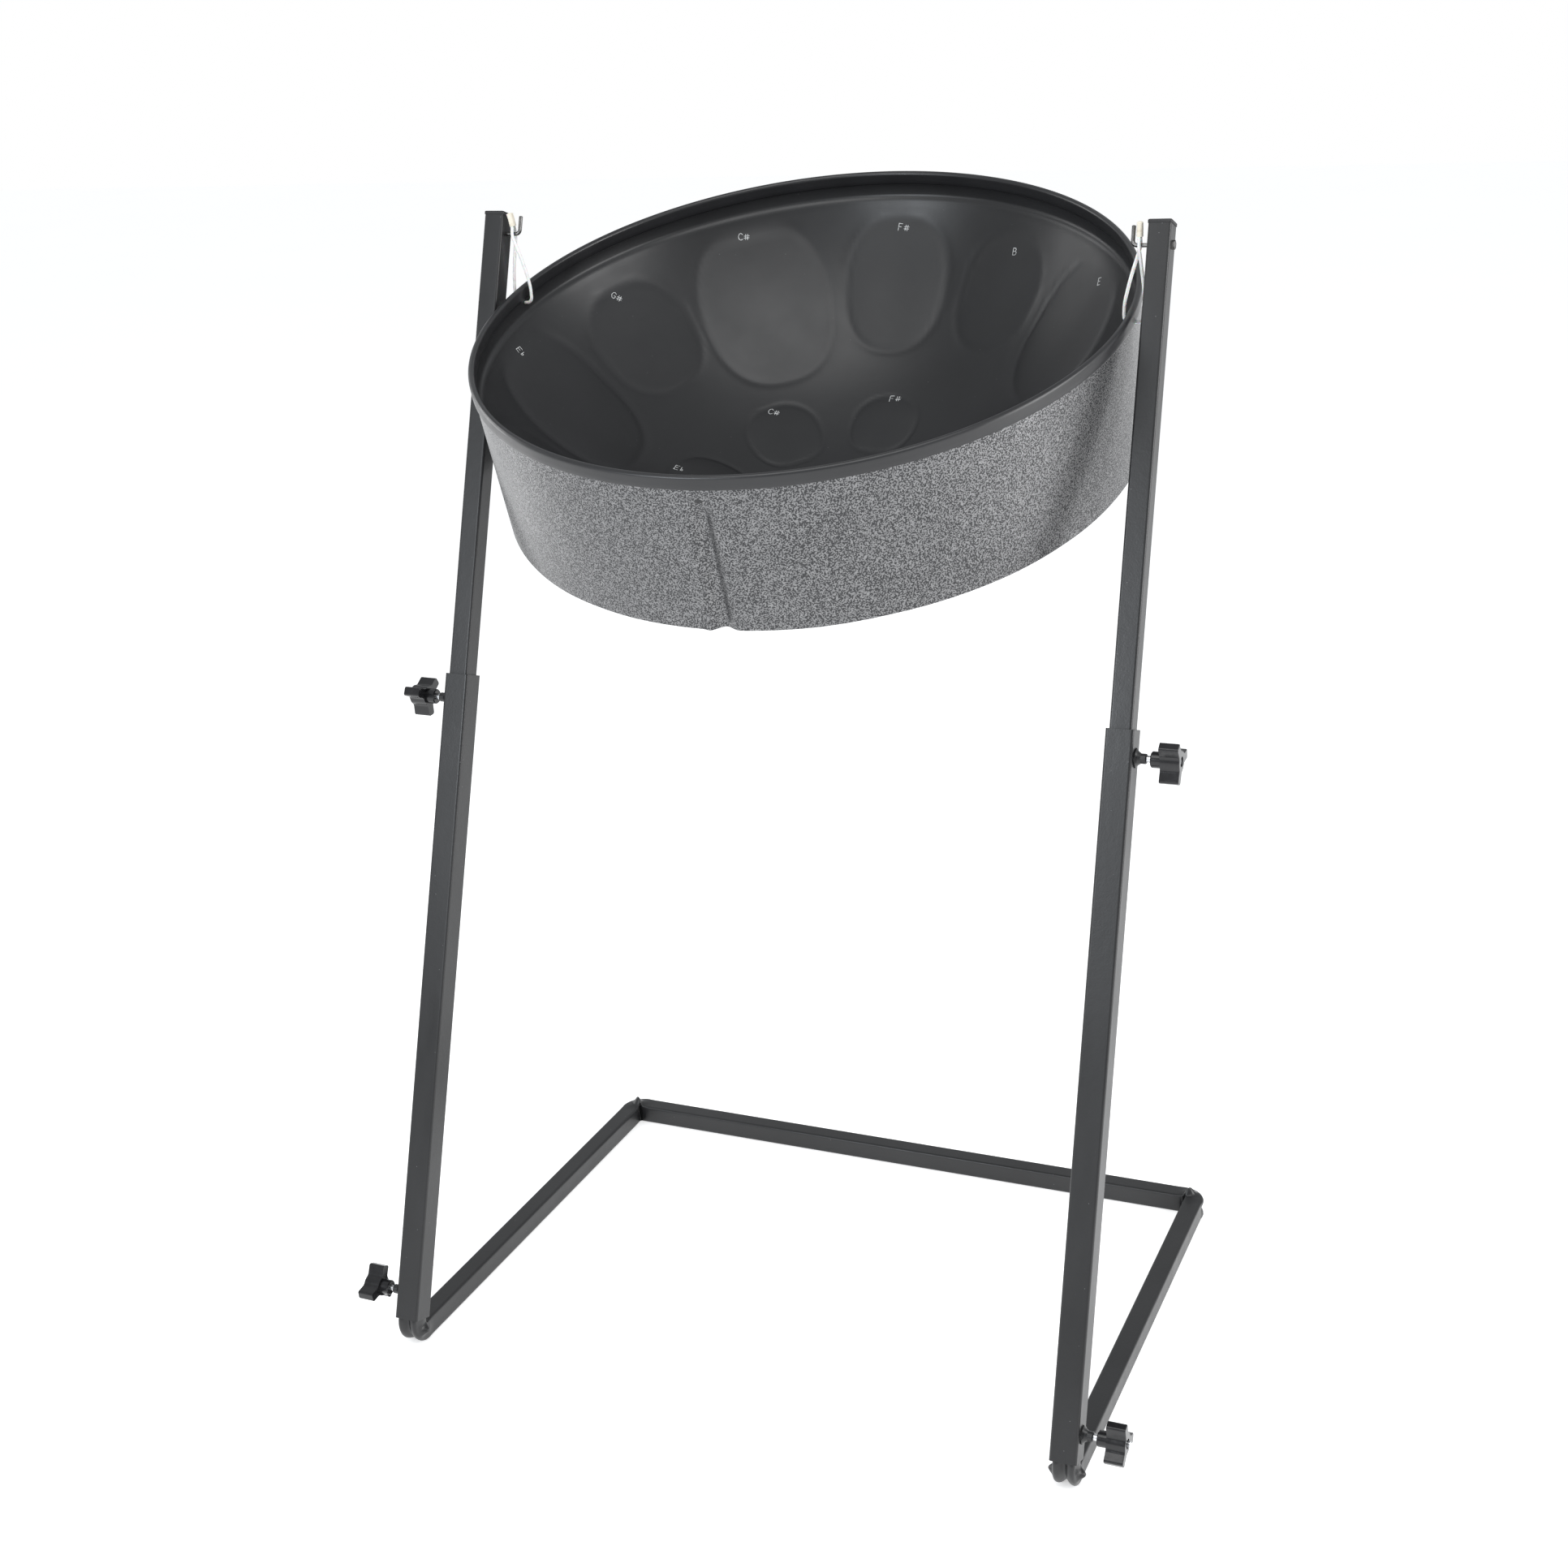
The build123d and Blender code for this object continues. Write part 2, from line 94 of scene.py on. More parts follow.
def leg_frame(name):
    """Matrix of a leg: Z up the leg, X to the right, Y back, origin where it meets the floor."""
    up = joint_axis(name + "_lower_leg_slide")
    points = node_points(name + "_lower_leg_tube")
    middle = Vector((points.min(0) + points.max(0)) / 2)
    foot = middle - up * (middle.z / up.z)
    x_axis = Vector((1, 0, 0))
    x_axis = (x_axis - up * x_axis.dot(up)).normalized()
    return matrix_of(foot, x_axis, up.cross(x_axis), up)


# ---------------------------------------------------------------- mesh helpers
def new_piece(name, points, faces, body, material, smooth=True, angle=None):
    """Mesh object in the row frame that rides on a body."""
    mesh = bpy.data.meshes.new(name)
    mesh.from_pydata([tuple(p) for p in points], [], faces)
    mesh.validate()
    piece = bpy.data.objects.new(name, mesh)
    bpy.context.scene.collection.objects.link(piece)
    tidy_faces(mesh)
    mesh.materials.append(material)
    if smooth:
        mesh.polygons.foreach_set("use_smooth", [True] * len(mesh.polygons))
    if angle is not None:
        mesh.set_sharp_from_angle(angle=math.radians(angle))
    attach(piece, body)
    return piece


def tidy_faces(mesh):
    """Welds doubled points and turns all faces outward."""
    work = bmesh.new()
    work.from_mesh(mesh)
    bmesh.ops.remove_doubles(work, verts=work.verts, dist=1e-6)
    bmesh.ops.recalc_face_normals(work, faces=work.faces)
    work.to_mesh(mesh)
    work.free()


def ring_faces(rings, count, closed=False):
    """Quads between successive rings of points."""
    faces = []
    last = rings if closed else rings - 1
    for ring in range(last):
        low = ring * count
        high = ((ring + 1) % rings) * count
        for i in range(count):
            j = (i + 1) % count
            faces.append((low + i, low + j, high + j, high + i))
    return faces


def smooth_step(x):
    """0 below 0, 1 above 1, smooth between."""
    x = np.clip(x, 0.0, 1.0)
    return x * x * (3 - 2 * x)


def bump(x, width):
    """Bell of height 1 at x = 0."""
    return np.exp(-((x / width) ** 2))


# ---------------------------------------------------------------- materials
class Shader:
    """A material's node tree, with short calls to add nodes and links."""

    def __init__(self, name):
        self.material = bpy.data.materials.new(name)
        self.material.use_nodes = True
        self.nodes = self.material.node_tree.nodes
        self.links = self.material.node_tree.links
        self.surface = self.nodes["Principled BSDF"]
        coordinates = self.nodes.new("ShaderNodeTexCoord")
        self.place = coordinates.outputs["Object"]

    def set(self, **values):
        """Constants on the shader's own sockets, with _ for a space in the name."""
        for key, value in values.items():
            self.surface.inputs[key.replace("_", " ")].default_value = value

    def link(self, output, socket):
        """Links an output to one of the shader's sockets."""
        self.links.new(output, self.surface.inputs[socket])

    def noise(self, scale, detail=2.0, rough=0.5, distortion=0.0, place=None):
        """Noise value."""
        node = self.nodes.new("ShaderNodeTexNoise")
        node.inputs["Scale"].default_value = scale
        node.inputs["Detail"].default_value = detail
        node.inputs["Roughness"].default_value = rough
        node.inputs["Distortion"].default_value = distortion
        self.links.new(place or self.place, node.inputs["Vector"])
        return node.outputs["Fac"]

    def cells(self, scale):
        """Distance to the nearest of many scattered points."""
        node = self.nodes.new("ShaderNodeTexVoronoi")
        node.inputs["Scale"].default_value = scale
        self.links.new(self.place, node.inputs["Vector"])
        return node.outputs["Distance"]

    def stretch(self, scale):
        """Object coordinates scaled by three factors."""
        node = self.nodes.new("ShaderNodeMapping")
        node.inputs["Scale"].default_value = scale
        self.links.new(self.place, node.inputs["Vector"])
        return node.outputs["Vector"]

    def remap(self, value, low, high, to_low, to_high, smooth=False):
        """Value moved from one range to another, clamped."""
        node = self.nodes.new("ShaderNodeMapRange")
        node.interpolation_type = "SMOOTHSTEP" if smooth else "LINEAR"
        node.inputs["From Min"].default_value = low
        node.inputs["From Max"].default_value = high
        node.inputs["To Min"].default_value = to_low
        node.inputs["To Max"].default_value = to_high
        self.links.new(value, node.inputs["Value"])
        return node.outputs["Result"]

    def mix(self, factor, first, second):
        """Colour between first and second, each a colour or an output."""
        node = self.nodes.new("ShaderNodeMix")
        node.data_type = "RGBA"
        self.links.new(factor, node.inputs["Factor"])
        for socket, colour in ((node.inputs[6], first), (node.inputs[7], second)):
            if isinstance(colour, tuple):
                socket.default_value = (*colour, 1.0)
            else:
                self.links.new(colour, socket)
        return node.outputs[2]

    def math(self, operation, first, second):
        """Sum, product or other operation on two values, each a number or an output."""
        node = self.nodes.new("ShaderNodeMath")
        node.operation = operation
        for socket, value in zip(node.inputs, (first, second)):
            if isinstance(value, (int, float)):
                socket.default_value = value
            else:
                self.links.new(value, socket)
        return node.outputs[0]

    def bump(self, height, strength, distance, under=None):
        """Bump from a height; under is another bump's output."""
        node = self.nodes.new("ShaderNodeBump")
        node.inputs["Strength"].default_value = strength
        node.inputs["Distance"].default_value = distance
        self.links.new(height, node.inputs["Height"])
        if under is not None:
            self.links.new(under, node.inputs["Normal"])
        return node.outputs["Normal"]


def specks(shader, scale, size):
    """Mask of rare small specks."""
    distance = shader.cells(scale)
    return shader.remap(distance, size * 0.6, size, 1.0, 0.0)


def powder_coat():
    """Satin black powder coat with a fine orange peel, dust specks and faint scuffs."""
    s = Shader("powder_coat_black")
    s.set(Metallic=0.0, IOR=1.5)
    clouds = s.noise(9.0, detail=4.0)
    tone = s.mix(s.remap(clouds, 0.35, 0.65, 0.0, 1.0), (0.0115, 0.0117, 0.0125), (0.0165, 0.0168, 0.0178))
    dust = specks(s, 95.0, 0.045)
    tone = s.mix(s.math("MULTIPLY", dust, 0.35), tone, (0.35, 0.35, 0.36))
    s.link(tone, "Base Color")
    scuff = s.noise(40.0, detail=6.0, rough=0.65, place=s.stretch((1.0, 0.35, 0.12)))
    s.link(s.remap(scuff, 0.3, 0.75, 0.30, 0.42), "Roughness")
    peel = s.noise(620.0, detail=1.0)
    ripple = s.noise(150.0, detail=2.0)
    soft = s.bump(ripple, 0.10, 0.0006)
    s.link(s.bump(peel, 0.16, 0.00025, under=soft), "Normal")
    return s.material


def pan_lacquer():
    """Satin black lacquer of the playing surface, with hammered unevenness and fine dust."""
    s = Shader("pan_lacquer_black")
    s.set(Metallic=0.0, IOR=1.5)
    clouds = s.noise(7.0, detail=5.0, rough=0.6)
    tone = s.mix(s.remap(clouds, 0.3, 0.7, 0.0, 1.0), (0.0110, 0.0112, 0.0122), (0.0155, 0.0160, 0.0175))
    dust = specks(s, 80.0, 0.035)
    tone = s.mix(s.math("MULTIPLY", dust, 0.3), tone, (0.3, 0.3, 0.31))
    s.link(tone, "Base Color")
    haze = s.noise(16.0, detail=5.0, rough=0.6)
    s.link(s.remap(haze, 0.3, 0.7, 0.33, 0.42), "Roughness")
    dents = s.noise(34.0, detail=3.0)
    grain = s.noise(900.0, detail=2.0)
    soft = s.bump(dents, 0.12, 0.0012)
    s.link(s.bump(grain, 0.10, 0.00012, under=soft), "Normal")
    return s.material


def rim_lacquer():
    """Smoother satin black of the rolled rim."""
    s = Shader("rim_lacquer_black")
    s.set(Metallic=0.0, IOR=1.5)
    clouds = s.noise(14.0, detail=4.0)
    tone = s.mix(s.remap(clouds, 0.3, 0.7, 0.0, 1.0), (0.0135, 0.0137, 0.0150), (0.0190, 0.0193, 0.0210))
    s.link(tone, "Base Color")
    haze = s.noise(45.0, detail=4.0)
    s.link(s.remap(haze, 0.3, 0.7, 0.28, 0.37), "Roughness")
    waves = s.noise(60.0, detail=2.0)
    grain = s.noise(800.0, detail=1.0)
    soft = s.bump(waves, 0.08, 0.0008)
    s.link(s.bump(grain, 0.10, 0.0001, under=soft), "Normal")
    return s.material


def hammertone():
    """Grey hammertone lacquer: light metallic cells broken by dark worm-like pits."""
    s = Shader("hammertone_grey")
    worms = s.noise(830.0, detail=0.0, rough=0.4, distortion=0.2)
    drift = s.noise(11.0, detail=3.0)
    edge = s.remap(drift, 0.3, 0.7, -0.018, 0.018)
    level = s.math("ADD", worms, edge)
    mask = s.remap(level, 0.43, 0.56, 0.0, 1.0, smooth=True)
    light = s.mix(s.remap(s.noise(230.0), 0.3, 0.7, 0.0, 1.0), (0.17, 0.17, 0.174), (0.25, 0.25, 0.254))
    tone = s.mix(mask, light, (0.028, 0.029, 0.031))
    s.link(tone, "Base Color")
    s.set(IOR=1.5)
    s.link(s.remap(mask, 0.0, 1.0, 0.80, 0.25), "Metallic")
    s.link(s.remap(mask, 0.0, 1.0, 0.30, 0.26), "Roughness")
    height = s.remap(mask, 0.0, 1.0, 1.0, 0.0)
    s.link(s.bump(height, 0.28, 0.0002), "Normal")
    return s.material


def moulded_plastic(name, tone, rough_low, rough_high):
    """Black moulded plastic."""
    s = Shader(name)
    s.set(Metallic=0.0, IOR=1.48)
    clouds = s.noise(60.0, detail=4.0)
    lighter = tuple(1.5 * c for c in tone)
    s.link(s.mix(s.remap(clouds, 0.3, 0.7, 0.0, 1.0), tone, lighter), "Base Color")
    haze = s.noise(220.0, detail=3.0)
    s.link(s.remap(haze, 0.3, 0.7, rough_low, rough_high), "Roughness")
    grain = s.noise(1500.0, detail=2.0)
    s.link(s.bump(grain, 0.08, 0.0001), "Normal")
    return s.material


def plated_metal(name, dark, light, rough_low, rough_high):
    """Plated steel with uneven tone and fine draw marks."""
    s = Shader(name)
    s.set(Metallic=1.0)
    clouds = s.noise(180.0, detail=4.0)
    s.link(s.mix(s.remap(clouds, 0.3, 0.7, 0.0, 1.0), dark, light), "Base Color")
    haze = s.noise(420.0, detail=3.0)
    s.link(s.remap(haze, 0.3, 0.7, rough_low, rough_high), "Roughness")
    marks = s.noise(1400.0, detail=3.0)
    s.link(s.bump(marks, 0.10, 0.0001), "Normal")
    return s.material


def nylon():
    """Milky translucent nylon."""
    s = Shader("nylon_milky")
    s.set(IOR=1.53, Transmission_Weight=0.10, Subsurface_Weight=0.25, Subsurface_Scale=0.002)
    clouds = s.noise(160.0, detail=3.0)
    tone = s.mix(s.remap(clouds, 0.3, 0.7, 0.0, 1.0), (0.88, 0.89, 0.88), (0.95, 0.95, 0.94))
    s.link(tone, "Base Color")
    s.link(s.remap(clouds, 0.3, 0.7, 0.24, 0.34), "Roughness")
    s.link(s.bump(s.noise(700.0), 0.10, 0.0002), "Normal")
    return s.material


def sleeve_plastic():
    """Cream crimped sleeve."""
    s = Shader("sleeve_cream")
    s.set(IOR=1.48)
    clouds = s.noise(240.0, detail=4.0)
    tone = s.mix(s.remap(clouds, 0.3, 0.7, 0.0, 1.0), (0.70, 0.64, 0.52), (0.86, 0.82, 0.72))
    s.link(tone, "Base Color")
    s.link(s.remap(clouds, 0.3, 0.7, 0.35, 0.5), "Roughness")
    s.link(s.bump(s.noise(520.0), 0.2, 0.0003), "Normal")
    return s.material


def label_paint():
    """White marker paint of the note names."""
    s = Shader("label_paint_white")
    clouds = s.noise(500.0, detail=3.0)
    tone = s.mix(s.remap(clouds, 0.35, 0.65, 0.0, 1.0), (0.45, 0.46, 0.46), (0.78, 0.79, 0.79))
    s.link(tone, "Base Color")
    s.link(s.remap(clouds, 0.3, 0.7, 0.45, 0.6), "Roughness")
    return s.material


# ---------------------------------------------------------------- base tube with crushed bends
TUBE = 20.0
TUBE_CORNER = 2.2
BEND_RADIUS = 14.0
CORNER_HALF = 45.0          # half the turn of a rear corner, degrees
UNBENT = 180.0              # station angle that is too far from any bend to be crushed
BEND_REACH = 16.0           # how far the crushing reaches into a straight run
NEAR_STEPS = 6              # steps that share out that reach
PLAIN_STEP = 0.05           # spacing of the stations beyond it, metres
RUN_END = 0.02              # length of a rail that takes after the bend at its end, metres
STUB_TOP = 0.175            # stub's end along the leg, hidden inside the lower leg, metres
CREASE_SINK = 7.5           # depth of the fold in the middle of a bend's inner wall
PINCH_DEPTH = 1.6           # hollow of the inner wall either side of the fold
CRUSH_GROOVE = 3.6          # depth of the channel along the outer wall
EDGE_SWELL = 0.9            # rise of the outer wall beside the channel
SIDE_BULGE = 1.1            # how far the side walls bow out


def square_outline(size, corner, per_side=10, per_corner=4):
    """Points round a rounded square, counter-clockwise, centred on the origin."""
    half = size / 2
    flat = half - corner
    points = []
    for quarter in range(4):
        turn = quarter * math.pi / 2
        c, s = math.cos(turn), math.sin(turn)
        for i in range(per_side):
            y = -flat + 2 * flat * i / per_side
            points.append((half * c - y * s, half * s + y * c))
        for i in range(per_corner):
            a = (i / per_corner) * math.pi / 2
            x = flat + corner * math.cos(a)
            y = flat + corner * math.sin(a)
            points.append((x * c - y * s, x * s + y * c))
    return np.array(points)


def crush(inner, side, angle, half_turn, one_ear):
    """Section of a square tube crushed in a bend. inner points to the bend's centre and side
    along its axis; angle is measured from the middle of the bend, in degrees. one_ear leaves
    out the pointed ear on the side's negative face, which lies on the floor."""
    half = TUBE / 2
    crease = bump(angle, 16.0)
    dish = smooth_step((half_turn + 14.0 - abs(angle)) / 22.0)
    near_inner = smooth_step((inner + 3.0) / (half + 3.0))
    near_outer = smooth_step((-inner - 2.0) / (half - 2.0))
    across = np.abs(side) / half
    on_wall = smooth_step((np.abs(inner) - 7.0) / 2.5)
    sink = crease * near_inner * on_wall * (1.0 - 0.62 * across ** 2) * CREASE_SINK
    pinch = dish * near_inner * on_wall * (1.0 - across ** 2) * PINCH_DEPTH
    groove = dish * near_outer * on_wall * bump(side, 3.0) * CRUSH_GROOVE
    swell = dish * near_outer * bump(across - 0.72, 0.3) * EDGE_SWELL
    on_side = smooth_step((across - 0.72) / 0.25)
    middle, spread, width, rise = (2.0, 6.0, 17.0, 8.0) if one_ear else (-0.5, 5.0, 13.0, 6.2)
    ear = bump(angle, width) * on_side * bump(inner - middle, spread) * rise
    bulge = dish * on_side * bump(inner - 2.0, 7.0) * SIDE_BULGE
    if one_ear:
        ear = np.where(side > 0, ear, 0.0)
        bulge = np.where(side > 0, bulge, 0.0)
    new_inner = inner - sink - pinch + groove - swell
    new_side = side + np.sign(side) * (ear + bulge)
    return new_inner, new_side


def bend_stations(start, along, inner, axis, turn, step=4.0):
    """Stations round one bend: (centre, inner direction, axis direction, angle from the middle)."""
    centre = start + inner * BEND_RADIUS * MM
    count = max(2, round(turn / step))
    stations = []
    for i in range(count + 1):
        a = math.radians(turn * i / count)
        towards = inner * math.cos(a) - along * math.sin(a)
        stations.append((centre - towards * BEND_RADIUS * MM, towards, axis, turn * (i / count - 0.5)))
    return stations


def straight_stations(start, end, inner, axis, away, half_turn, far_turn):
    """Stations along a straight run: close together near its ends, where the bends reach in.
    away says which of its two ends take after a bend; half_turn and far_turn are those bends'."""
    length = (end - start).length
    along = (end - start) / length
    reach = BEND_REACH * MM
    degrees_per_metre = 180.0 / math.pi / (BEND_RADIUS * MM)
    stations = []
    for i in range(1, NEAR_STEPS):
        d = reach * i / NEAR_STEPS
        angle = half_turn + d * degrees_per_metre * 0.5 if away[0] else UNBENT
        stations.append((start + along * d, inner, axis, angle))
    inside = max(2, round((length - 2 * reach) / PLAIN_STEP))
    for i in range(inside + 1):
        d = reach + (length - 2 * reach) * i / inside
        stations.append((start + along * d, inner, axis, UNBENT))
    for i in range(NEAR_STEPS - 1, 0, -1):
        d = reach * i / NEAR_STEPS
        angle = -(far_turn + d * degrees_per_metre * 0.5) if away[1] else UNBENT
        stations.append((end - along * d, inner, axis, angle))
    return stations


def tube_rings(stations, half_turn, hand):
    """Section points at each station of a rail, foot or stub. hand is 1 on the left, where
    the section's first axis is the row's +X, and -1 on the right, which is its mirror."""
    outline = square_outline(TUBE, TUBE_CORNER)
    rings = []
    for centre, inner_dir, axis_dir, angle in stations:
        inner, side = crush(outline[:, 1], hand * outline[:, 0], angle, half_turn, False)
        rings.append([centre + (inner_dir * a + axis_dir * b) * MM for a, b in zip(inner, side)])
    return rings


def side_rings(foot, leg_up, lean, side, back_y):
    """Section points of one side: the leg's stub, front bend, side rail and rear corner."""
    radius = BEND_RADIUS * MM
    axis_height = Vector((0, 0, TUBE / 2 * MM))
    up, back, x_axis = Vector((0, 0, 1)), Vector((0, 1, 0)), Vector((1, 0, 0))
    inward = Vector((-side, 0, 0))
    foot_turn = 90.0 + math.degrees(lean)
    foot_half = foot_turn / 2
    foot_tangent = radius * math.tan(math.radians(foot_half))
    rail_start = TUBE / 2 * MM * math.tan(lean) + foot_tangent
    rail_front = Vector((foot.x, foot.y + rail_start, 0)) + axis_height
    rail_end = Vector((foot.x, back_y - radius, 0)) + axis_height

    front_bend = bend_stations(rail_front, -back, up, x_axis, foot_turn)
    bend_end, bend_inner = front_bend[-1][:2]
    top = bend_end + leg_up * (STUB_TOP - bend_end.dot(leg_up) + foot.dot(leg_up))
    stub = straight_stations(bend_end, top, bend_inner, x_axis, (True, False), foot_half, 0)
    run = straight_stations(rail_front, rail_end, up, x_axis, (True, False), foot_half, 0)
    front = [s for s in run if (s[0] - rail_front).length < RUN_END]
    rear = [s for s in run if (s[0] - rail_end).length <= RUN_END]
    middle = [(*s[:3], UNBENT) for s in run if s not in front and s not in rear]
    rear_turned = []
    for centre, *_ in rear:
        angle = CORNER_HALF + math.degrees((centre - rail_end).length / radius) * 0.5
        rear_turned.append((centre, inward, up, angle))
    corner = bend_stations(rail_end, back, inward, up, 2 * CORNER_HALF)

    rings = tube_rings(stub, foot_half, -side)[::-1] + tube_rings(front_bend, foot_half, -side)[::-1]
    rings += tube_rings(front, foot_half, -side) + tube_rings(middle, CORNER_HALF, -side)
    return rings + corner_rings(rear_turned) + corner_rings(corner)


def base_tube(material):
    """The bent base tube, from one leg's stub round to the other's."""
    legs = {name: leg_frame(name) for name in SIDES}
    feet = {name: legs[name].translation for name in SIDES}
    radius = BEND_RADIUS * MM
    back_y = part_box("base_frame_tube")[1].y - TUBE / 2 * MM
    lean = math.acos(legs["left"].col[2].z)
    sides = {}
    for name, side in SIDES.items():
        leg_up = Vector(legs[name].col[2][:3])
        sides[name] = side_rings(feet[name], leg_up, lean, side, back_y)
    axis_height = Vector((0, 0, TUBE / 2 * MM))
    start = Vector((feet["left"].x + radius, back_y, 0)) + axis_height
    end = Vector((feet["right"].x - radius, back_y, 0)) + axis_height
    forward, up = Vector((0, -1, 0)), Vector((0, 0, 1))
    rear = straight_stations(start, end, forward, up, (True, True), CORNER_HALF, CORNER_HALF)
    rings = sides["left"] + corner_rings(rear) + sides["right"][::-1]
    count = len(rings[0])
    points = [Vector((p.x, p.y, max(p.z, 0.0))) for ring in rings for p in ring]
    faces = ring_faces(len(rings), count)
    faces.append(tuple(range(count)))
    faces.append(tuple(len(points) - count + i for i in range(count)))
    piece = new_piece("base_tube_bent", points, faces, "base", material, angle=60)
    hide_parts("base_frame_tube")
    return piece


def corner_rings(stations):
    """Section points where the bend's inner side is level, kept in step with the rails' points."""
    outline = square_outline(TUBE, TUBE_CORNER)
    rings = []
    for centre, inner_dir, axis_dir, angle in stations:
        inner, axial = crush(outline[:, 0], outline[:, 1], angle, CORNER_HALF, True)
        rings.append([centre + (inner_dir * a + axis_dir * b) * MM for a, b in zip(inner, axial)])
    return rings


# ---------------------------------------------------------------- pan
RIM_RADIUS = 305.0
SKIRT_RADIUS = 303.0
SKIRT_WALL = 1.2
SKIRT_TAPER = 2.8
SKIRT_LENGTH = 150.0
COLLAR_RADIUS = 300.6
COLLAR_DEPTH = 24.0
COLLAR_TOP = 6.0
CREST = 3.0                 # radius of the rim's rounded top
RIM_BOTTOM = -13.0
RIM_GROOVE_TOP = -5.9       # where the groove over the skirt and the collar ends
EDGE_RADIUS = 296.4
EDGE_DEPTH = 30.0
BOWL_DEPTH = 212.0
BOWL_WALL = 0.9
SEAM_ANGLE = -86.0
SEAM_RIDGE = 1.6
SEAM_SINK = 6.0
EDGE_WAVES = (3, 5, 8, 13, 21, 34)      # lobes round the skirt's lower edge
EDGE_WANDER = 0.7
SIDE_SWAY = 0.9

# Outer notes run in fifths; lower notes are larger. Each is (name, direction in degrees,
# middle's radius, half length, half width).
OUTER_NOTES = [
    ("E", 37.5, 252, 75, 58), ("B", 65, 253, 59, 44), ("F#", 92, 250, 68, 53),
    ("C#", 123.5, 247, 85, 65), ("G#", 154.5, 252, 59, 55), ("Eb", 186, 248, 80, 64),
    ("Bb", 216, 252, 57, 46), ("F", 246, 250, 72, 57), ("C", 277, 247, 88, 68),
    ("G", 307, 251, 64, 53), ("D", 337, 248, 82, 66), ("A", 8, 252, 59, 46),
]
# Each inner note is (name, direction in degrees, half length, half width).
INNER_NOTES = [
    ("F#", 85, 34, 33), ("C#", 132, 38, 36), ("Eb", 182, 38, 35), ("F", 235, 36, 34),
    ("C", 287, 38, 36), ("D", 339, 38, 35), ("E", 32, 35, 33),
]
INNER_MIDDLE = 124.0
# Middle notes carry no name. Each is (direction in degrees, half size).
CENTRE_NOTES = [(100, 23), (190, 22), (280, 22), (10, 22)]
CENTRE_MIDDLE = 52.0
OUTER_LIFT = 3.4
INNER_LIFT = 2.2
CENTRE_LIFT = 1.3
GROOVE_DEPTH = 0.7
RISE = BOWL_DEPTH - EDGE_DEPTH
SPHERE = (EDGE_RADIUS ** 2 + RISE ** 2) / (2 * RISE)


def note_list():
    """Every note as (angle, arc distance from the bowl's middle, half length, half width, lift)."""
    notes = []
    for _, degrees, middle, length, width in OUTER_NOTES:
        arc = SPHERE * math.asin(middle / SPHERE)
        notes.append((math.radians(degrees), arc, length, width, OUTER_LIFT))
    for _, degrees, length, width in INNER_NOTES:
        arc = SPHERE * math.asin(INNER_MIDDLE / SPHERE)
        notes.append((math.radians(degrees), arc, length, width, INNER_LIFT))
    for degrees, size in CENTRE_NOTES:
        notes.append((math.radians(degrees), CENTRE_MIDDLE, size, size * 0.95, CENTRE_LIFT))
    return notes


def bowl_height(x, y):
    """Depth of the playing surface at a place in the pan's plane, millimetres, notes included."""
    radius = np.hypot(x, y)
    polar = np.arcsin(np.clip(radius / SPHERE, 0, 0.999))
    z = SPHERE - BOWL_DEPTH - SPHERE * np.cos(polar)
    arc = SPHERE * polar
    angle = np.arctan2(y, x)
    lift = np.zeros_like(z)
    for at, middle, length, width, height in note_list():
        turn = (angle - at + math.pi) % (2 * math.pi) - math.pi
        along = (arc - middle) / length
        across = turn * radius / width
        egg = across / (1.0 + 0.10 * along)
        reach = (np.abs(along) ** 2.3 + np.abs(egg) ** 2.3) ** (1 / 2.3)
        dome = height * (1 - np.clip(reach, 0, 1) ** 2.4)
        groove = -GROOVE_DEPTH * bump(reach - 1.03, 0.045)
        lift += dome + groove
    return z, lift


def bowl_point(radius, angle):
    """Point of the playing surface and its outward (upward) normal, in the pan's frame."""
    x, y = radius * np.cos(angle), radius * np.sin(angle)
    z, lift = bowl_height(x, y)
    fade = smooth_step((EDGE_RADIUS - 3 - radius) / 8.0)
    lift = lift * fade
    to_centre = np.stack([-x, -y, (SPHERE - BOWL_DEPTH) - z], -1) / SPHERE
    return np.stack([x, y, z], -1) + to_centre * lift[..., None], to_centre


def bowl(material, place):
    """Playing surface with its notes, rounded shoulder and collar, as one closed shell."""
    count = 360
    rings = 112
    angles = np.linspace(0, 2 * math.pi, count, endpoint=False)
    top, under = [], []
    for i in range(1, rings + 1):
        share = i / rings
        radius = EDGE_RADIUS * share
        point, normal = bowl_point(np.full(count, radius), angles)
        top.append(point)
        under.append(point - normal * BOWL_WALL)
    # The shoulder and the collar's outside: (distance outside the bowl's edge, height).
    shoulder = [(0.9, -27.6), (2.2, -26.4), (3.4, -25.2), (4.2, -23.0), (4.2, -14.0), (4.2, -COLLAR_TOP)]
    for out, z in shoulder:
        radius = EDGE_RADIUS + out
        top.append(ring_points(radius, angles, z))
    outside = [(5.4, -COLLAR_TOP), (5.4, -14.0), (5.4, -24.0), (4.6, -26.2), (3.0, -28.0), (1.2, -29.8)]
    rim_side = [ring_points(EDGE_RADIUS + out, angles, z) for out, z in outside]
    loops = top + rim_side + under[::-1]
    points = np.concatenate(loops)
    faces = ring_faces(len(loops), count)
    bottom, normal = bowl_point(np.zeros(1), np.zeros(1))
    middle_top = len(points)
    points = np.concatenate([points, bottom, bottom - normal * BOWL_WALL])
    last = (len(loops) - 1) * count
    for i in range(count):
        j = (i + 1) % count
        faces.append((middle_top, i, j))
        faces.append((middle_top + 1, last + j, last + i))
    points = place_points(points, place)
    piece = new_piece("bowl_with_notes", points, faces, "pan", material)
    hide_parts("pan_bowl")
    return piece


